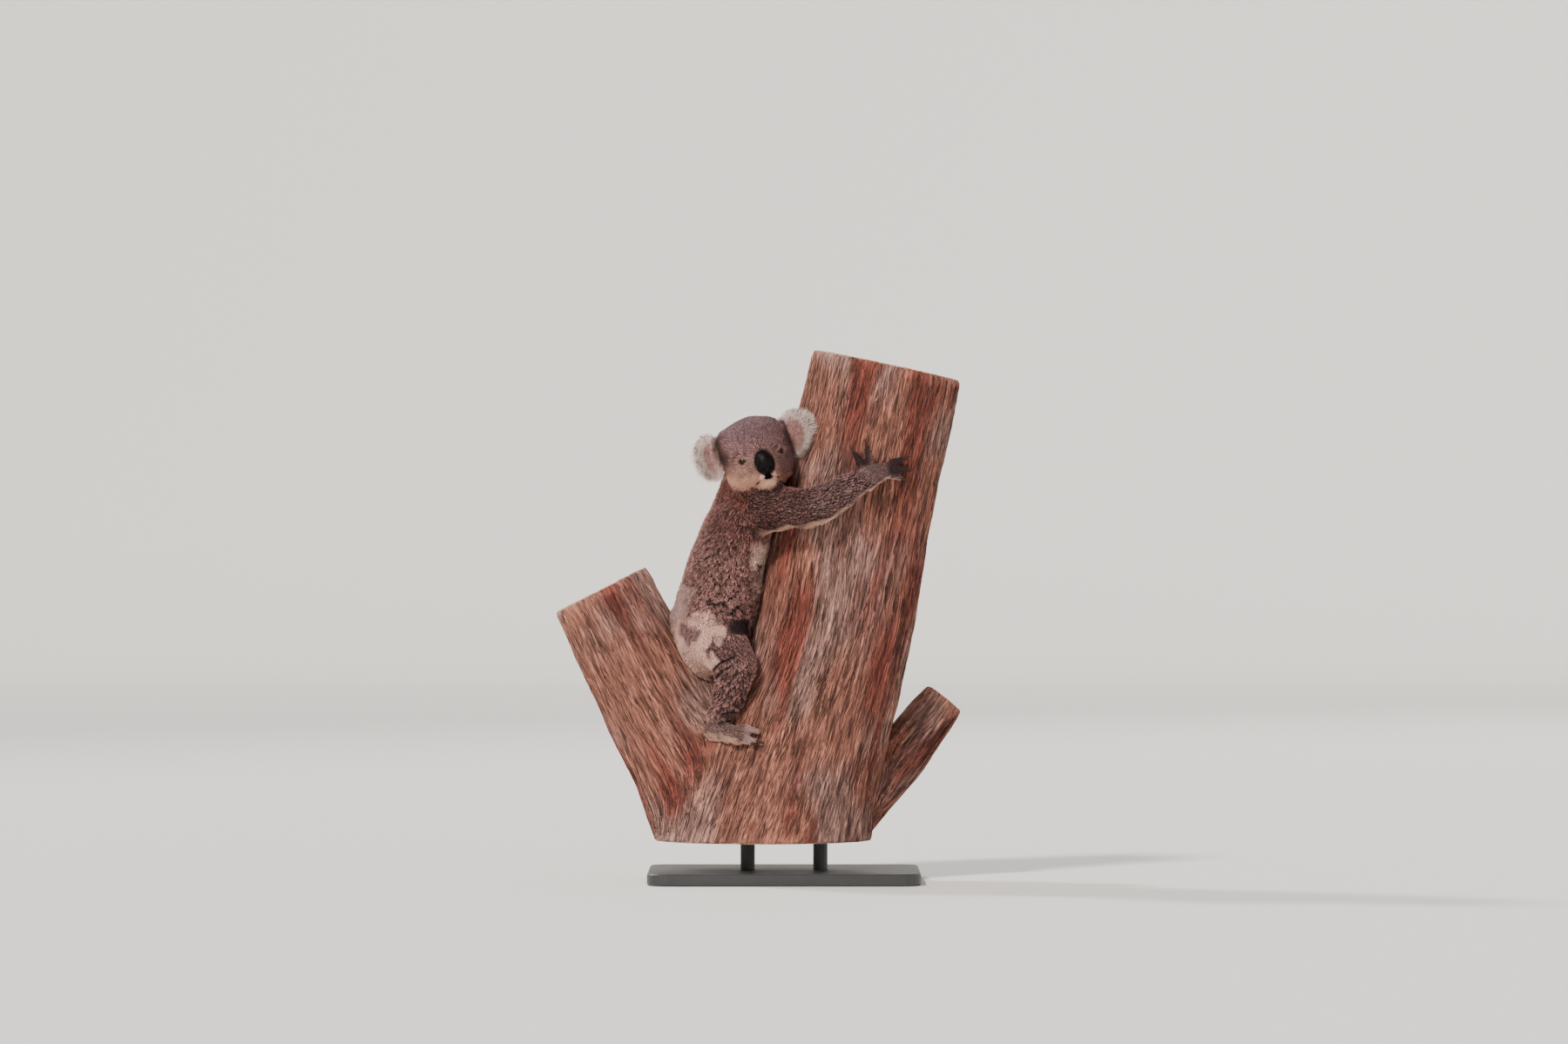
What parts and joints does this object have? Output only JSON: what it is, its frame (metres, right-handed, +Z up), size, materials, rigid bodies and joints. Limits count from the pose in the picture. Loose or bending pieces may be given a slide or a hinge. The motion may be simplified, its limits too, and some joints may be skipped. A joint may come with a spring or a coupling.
{
  "type": "koala",
  "caption": "Still life-size koala clinging to a cut length of forked gum trunk, head turned aside, on a flat display base with two short rods.",
  "frame": {"origin": "centre of the stand base's underside", "axes": "+Z up; +X the way the koala's belly faces, from the animal to the main stem; -Y the side its face and right flank show to"},
  "size_m": [0.841, 0.4216, 1.0987],
  "materials": {
    "grey_fur": "dense woolly grey-brown coat, pale on the rump, chin and underside of the arms",
    "ear_fur": "long soft whitish fringe round pinkish inner ears",
    "paw_fur": "short close fur, darker towards the digits",
    "nose_skin": "black, finely pebbled, slightly moist",
    "eye": "dark brown, polished",
    "claw": "dark horn, smooth and slightly glossy",
    "bark": "rough stringy gum bark with sawn pale ends",
    "stand_paint": "satin black"
  },
  "bodies": {
    "root": {"claw_foot_left_2": "claw", "claw_foot_left_3": "claw", "claw_foot_left_4": "claw", "claw_foot_left_5": "claw", "claw_foot_right_2": "claw", "claw_foot_right_3": "claw", "claw_foot_right_4": "claw", "claw_foot_right_5": "claw", "claw_hand_left_1": "claw", "claw_hand_left_2": "claw", "claw_hand_left_3": "claw", "claw_hand_left_4": "claw", "claw_hand_left_5": "claw", "claw_hand_right_1": "claw", "claw_hand_right_2": "claw", "claw_hand_right_3": "claw", "claw_hand_right_4": "claw", "claw_hand_right_5": "claw", "ear_left": "ear_fur", "ear_right": "ear_fur", "eye_left": "eye", "eye_right": "eye", "foot_left": "paw_fur", "foot_right": "paw_fur", "forearm_left": "grey_fur", "forearm_right": "grey_fur", "hand_left": "paw_fur", "hand_right": "paw_fur", "head": "grey_fur", "neck": "grey_fur", "nose": "nose_skin", "perch": "bark", "shin_left": "grey_fur", "shin_right": "grey_fur", "stand_base": "stand_paint", "stand_rod_1": "stand_paint", "stand_rod_2": "stand_paint", "thigh_left": "grey_fur", "thigh_right": "grey_fur", "torso": "grey_fur", "upper_arm_left": "grey_fur", "upper_arm_right": "grey_fur"}
  },
  "joints": []
}
